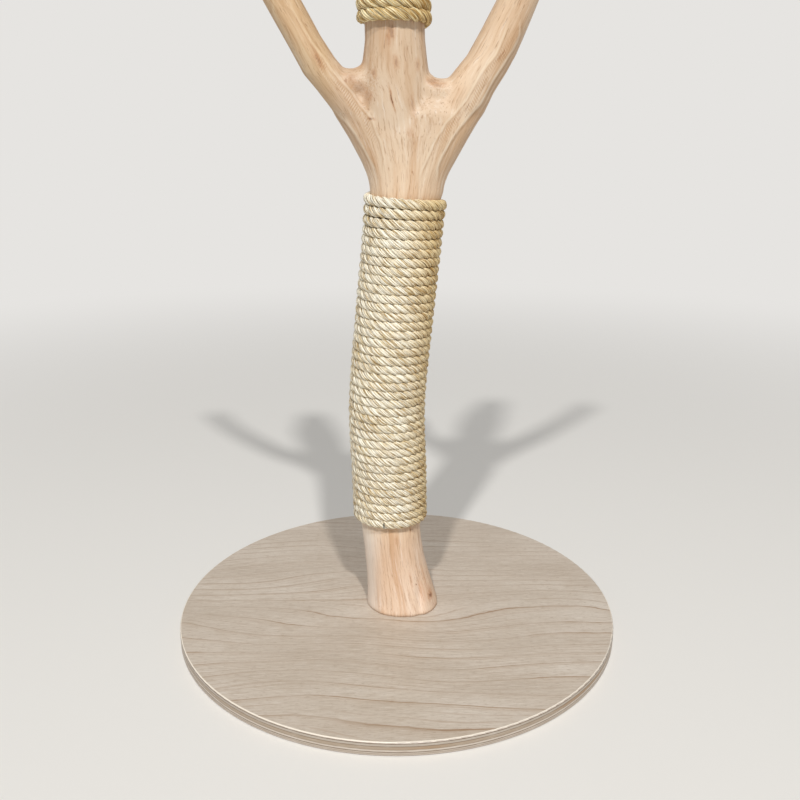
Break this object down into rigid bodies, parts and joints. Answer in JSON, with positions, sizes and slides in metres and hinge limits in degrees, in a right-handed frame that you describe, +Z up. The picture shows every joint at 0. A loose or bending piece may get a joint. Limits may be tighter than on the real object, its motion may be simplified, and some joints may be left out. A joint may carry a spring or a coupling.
{
  "type": "cat scratching post",
  "caption": "Forked natural wood scratching post with rope-wrapped stem and middle limb on a round plywood plate.",
  "frame": {"origin": "centre of the round plate's underside", "axes": "+Z up, -Y the front that the picture shows, +X to its right"},
  "size_m": [0.5999, 0.6, 0.978],
  "materials": {
    "plywood": "clear matt lacquer on pale maple-like veneer, grain along X, open ply edge",
    "peeled_wood": "peeled and sanded natural wood, fine grain along the limbs, small knots and checks",
    "sisal_rope": "three-strand twisted sisal, pale straw, slightly hairy",
    "staple_steel": "galvanised flat wire",
    "zinc_steel": "zinc plated"
  },
  "bodies": {
    "root": {"base_plate": "plywood", "trunk": "peeled_wood", "lower_rope_wrap": "sisal_rope", "upper_rope_wrap": "sisal_rope", "rope_staples": "staple_steel", "lag_screw": "zinc_steel", "lag_washer": "zinc_steel", "plate_screws": "zinc_steel"}
  },
  "joints": []
}
